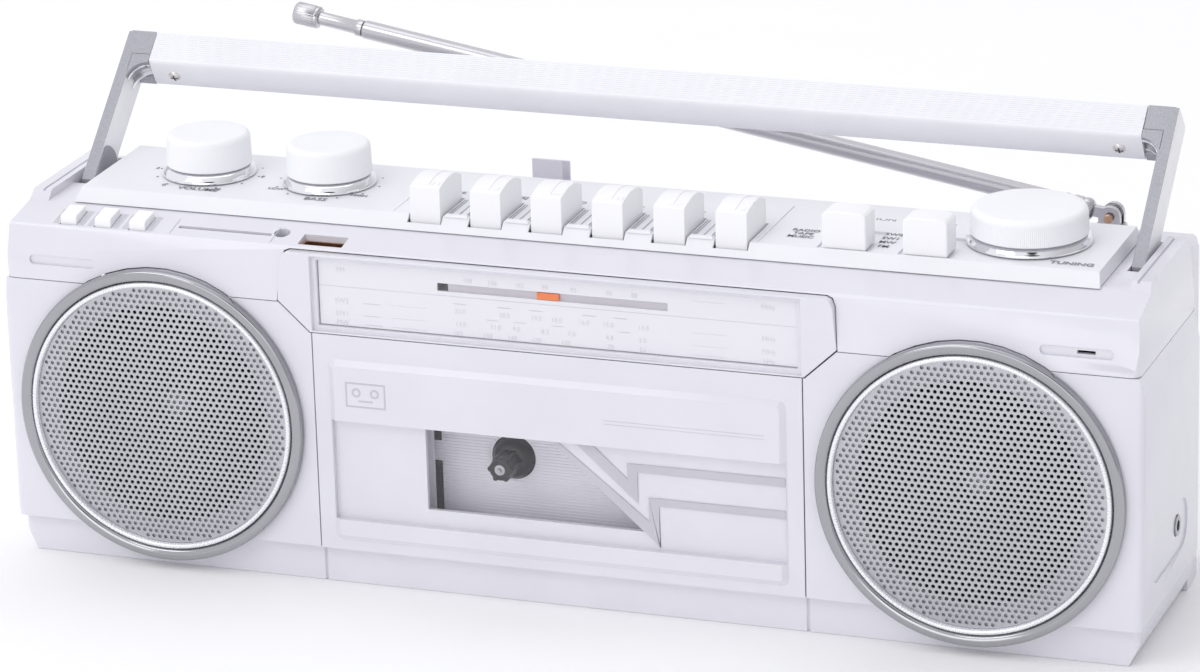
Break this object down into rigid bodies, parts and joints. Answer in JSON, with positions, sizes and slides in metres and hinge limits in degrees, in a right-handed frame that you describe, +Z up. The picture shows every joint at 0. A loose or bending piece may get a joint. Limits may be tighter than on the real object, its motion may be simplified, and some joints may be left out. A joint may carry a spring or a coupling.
{
  "type": "cassette player",
  "caption": "Portable radio cassette recorder with front cassette door, tuning dial, round speakers, piano keys, knobs, folding handle and telescopic antenna.",
  "frame": {"origin": "middle of the cabinet's width and depth, on the underside of the base", "axes": "+X to the right seen from the front, +Y to the back, +Z up; the front faces -Y"},
  "size_m": [0.388, 0.1076, 0.169],
  "materials": {
    "white_plastic": "glossy white, very slightly lavender",
    "panel_plastic": "satin light grey",
    "silver_paint": "fine-grained silver",
    "bright_metal": "mirror bright",
    "satin_tube": "satin, polished along the tube",
    "perforated_metal": "satin silver, closely perforated",
    "steel": "plain plated sheet",
    "copper_alloy": "satin copper colour",
    "clear_plastic": "clear, polished",
    "orange_plastic": "bright orange",
    "black_plastic": "matt black",
    "rubber": "matt black",
    "speaker_paper": "black paper cone, matt",
    "circuit_laminate": "green solder mask"
  },
  "bodies": {
    "cabinet": {"base_plinth": "white_plastic", "lower_shell": "white_plastic", "upper_shell": "white_plastic", "rear_shell": "white_plastic", "ac_inlet": "black_plastic", "control_panel": "panel_plastic", "volume_bezel": "bright_metal", "bass_bezel": "bright_metal", "tuning_bezel": "bright_metal", "key_axle": "steel", "usb_port": "copper_alloy", "status_lamp": "clear_plastic", "dial_frame": "white_plastic", "dial_lens": "clear_plastic", "dial_plate": "white_plastic", "speaker_ring_left": "bright_metal", "speaker_ring_right": "bright_metal", "speaker_grille_left": "perforated_metal", "speaker_grille_right": "perforated_metal", "speaker_driver_left": "speaker_paper", "speaker_driver_right": "speaker_paper", "cassette_well": "panel_plastic", "tape_chassis": "steel", "drive_motor": "steel", "drive_belt": "rubber", "circuit_board": "circuit_laminate", "power_transformer": "steel", "headphone_jack": "steel"},
    "battery_cover": {"battery_cover": "white_plastic"},
    "cassette_door": {"cassette_door": "white_plastic", "door_lens": "clear_plastic"},
    "volume_knob": {"volume_knob": "white_plastic"},
    "bass_knob": {"bass_knob": "white_plastic"},
    "tuning_knob": {"tuning_knob": "white_plastic"},
    "dial_pointer": {"dial_pointer": "orange_plastic"},
    "pause_key": {"pause_key": "white_plastic"},
    "stop_key": {"stop_key": "white_plastic"},
    "forward_key": {"forward_key": "white_plastic"},
    "rewind_key": {"rewind_key": "white_plastic"},
    "play_key": {"play_key": "white_plastic"},
    "record_key": {"record_key": "white_plastic"},
    "mode_button": {"mode_button": "white_plastic"},
    "previous_button": {"previous_button": "white_plastic"},
    "next_button": {"next_button": "white_plastic"},
    "function_switch": {"function_switch": "white_plastic"},
    "band_switch": {"band_switch": "white_plastic"},
    "head_bridge": {"head_bridge": "steel"},
    "pinch_roller": {"pinch_roller": "rubber"},
    "supply_spindle": {"supply_spindle": "black_plastic"},
    "takeup_spindle": {"takeup_spindle": "black_plastic"},
    "capstan_flywheel": {"capstan_flywheel": "steel"},
    "motor_pulley": {"motor_pulley": "copper_alloy"},
    "handle": {"handle_grip": "white_plastic", "handle_arm_left": "silver_paint", "handle_arm_right": "silver_paint", "handle_screw_left": "steel", "handle_screw_right": "steel"},
    "antenna_swivel": {"antenna_swivel": "satin_tube"},
    "antenna_mast": {"antenna_mast": "satin_tube"},
    "antenna_rod": {"antenna_rod": "bright_metal"}
  },
  "joints": [
    {"name": "battery_cover_release", "type": "slide", "parent": "cabinet", "child": "battery_cover", "axis": [0, 1, 0], "range_m": [0, 0.04]},
    {"name": "door_hinge", "type": "hinge", "parent": "cabinet", "child": "cassette_door", "pos_m": [0, -0.0505, 0.0139], "axis": [1, 0, 0], "range_deg": [0, 35]},
    {"name": "volume_turn", "type": "hinge", "parent": "cabinet", "child": "volume_knob", "pos_m": [-0.138, -0.005, 0.13], "axis": [0, 0, 1], "range_deg": [-150, 150]},
    {"name": "bass_turn", "type": "hinge", "parent": "cabinet", "child": "bass_knob", "pos_m": [-0.0948, -0.005, 0.13], "axis": [0, 0, 1], "range_deg": [-150, 150]},
    {"name": "tuning_turn", "type": "hinge", "parent": "cabinet", "child": "tuning_knob", "pos_m": [0.1444, -0.005, 0.13], "axis": [0, 0, 1], "range_deg": [-171.5, 162]},
    {"name": "pointer_travel", "type": "slide", "parent": "cabinet", "child": "dial_pointer", "axis": [1, 0, 0], "range_m": [-0.034, 0.036]},
    {"name": "pause_press", "type": "hinge", "parent": "cabinet", "child": "pause_key", "pos_m": [-0.0511, 0.012, 0.1172], "axis": [1, 0, 0], "range_deg": [0, 5], "stiffness_Nm_per_rad": 0.3, "springref_deg": -3.44},
    {"name": "stop_press", "type": "hinge", "parent": "cabinet", "child": "stop_key", "pos_m": [-0.0302, 0.012, 0.1172], "axis": [1, 0, 0], "range_deg": [0, 5], "stiffness_Nm_per_rad": 0.3, "springref_deg": -3.44},
    {"name": "forward_press", "type": "hinge", "parent": "cabinet", "child": "forward_key", "pos_m": [-0.0093, 0.012, 0.1172], "axis": [1, 0, 0], "range_deg": [0, 5], "stiffness_Nm_per_rad": 0.3, "springref_deg": -3.44},
    {"name": "rewind_press", "type": "hinge", "parent": "cabinet", "child": "rewind_key", "pos_m": [0.0116, 0.012, 0.1172], "axis": [1, 0, 0], "range_deg": [0, 5], "stiffness_Nm_per_rad": 0.3, "springref_deg": -3.44},
    {"name": "play_press", "type": "hinge", "parent": "cabinet", "child": "play_key", "pos_m": [0.0325, 0.012, 0.1172], "axis": [1, 0, 0], "range_deg": [0, 5], "stiffness_Nm_per_rad": 0.3, "springref_deg": -3.44},
    {"name": "record_press", "type": "hinge", "parent": "cabinet", "child": "record_key", "pos_m": [0.0534, 0.012, 0.1172], "axis": [1, 0, 0], "range_deg": [0, 5], "stiffness_Nm_per_rad": 0.3, "springref_deg": -3.44},
    {"name": "mode_press", "type": "slide", "parent": "cabinet", "child": "mode_button", "axis": [0, 0, -1], "range_m": [0, 0.0015], "stiffness_N_per_m": 400, "springref_m": -0.0005},
    {"name": "previous_press", "type": "slide", "parent": "cabinet", "child": "previous_button", "axis": [0, 0, -1], "range_m": [0, 0.0015], "stiffness_N_per_m": 400, "springref_m": -0.0005},
    {"name": "next_press", "type": "slide", "parent": "cabinet", "child": "next_button", "axis": [0, 0, -1], "range_m": [0, 0.0015], "stiffness_N_per_m": 400, "springref_m": -0.0005},
    {"name": "function_slide", "type": "slide", "parent": "cabinet", "child": "function_switch", "axis": [0, 1, 0], "range_m": [0, 0.008]},
    {"name": "band_slide", "type": "slide", "parent": "cabinet", "child": "band_switch", "axis": [0, 1, 0], "range_m": [0, 0.008]},
    {"name": "head_travel", "type": "slide", "parent": "cabinet", "child": "head_bridge", "axis": [0, 0, -1], "range_m": [0, 0.0046]},
    {"name": "pinch_roller_spin", "type": "hinge", "parent": "head_bridge", "child": "pinch_roller", "pos_m": [0.0285, -0.042, 0.0828], "axis": [0, 1, 0], "continuous": true},
    {"name": "supply_spin", "type": "hinge", "parent": "cabinet", "child": "supply_spindle", "pos_m": [-0.02125, -0.035, 0.0443], "axis": [0, 1, 0], "continuous": true},
    {"name": "takeup_spin", "type": "hinge", "parent": "cabinet", "child": "takeup_spindle", "pos_m": [0.02125, -0.035, 0.0443], "axis": [0, 1, 0], "continuous": true},
    {"name": "capstan_spin", "type": "hinge", "parent": "cabinet", "child": "capstan_flywheel", "pos_m": [0.0285, -0.03, 0.0715], "axis": [0, 1, 0], "continuous": true},
    {"name": "motor_spin", "type": "hinge", "parent": "cabinet", "child": "motor_pulley", "pos_m": [-0.038, -0.022, 0.034], "axis": [0, 1, 0], "continuous": true},
    {"name": "handle_swing", "type": "hinge", "parent": "cabinet", "child": "handle", "pos_m": [0, 0, 0.118], "axis": [1, 0, 0], "range_deg": [0, 68]},
    {"name": "antenna_turn", "type": "hinge", "parent": "cabinet", "child": "antenna_swivel", "pos_m": [0.1577, 0.046, 0.1168], "axis": [0, 0, 1], "range_deg": [-180, 0]},
    {"name": "antenna_tilt", "type": "hinge", "parent": "antenna_swivel", "child": "antenna_mast", "pos_m": [0.1577, 0.046, 0.1168], "axis": [0, 1, 0], "range_deg": [-9, 80]},
    {"name": "antenna_extend", "type": "slide", "parent": "antenna_mast", "child": "antenna_rod", "axis": [-0.9857, 0, 0.1685], "range_m": [0, 0.24]}
  ],
  "couplings": [
    {"joint": "pointer_travel", "follows": "tuning_turn", "m_per_rad": -0.012},
    {"joint": "head_travel", "follows": "play_press", "m_per_rad": 0.0515},
    {"joint": "motor_spin", "follows": "capstan_spin", "ratio": 5.25}
  ]
}
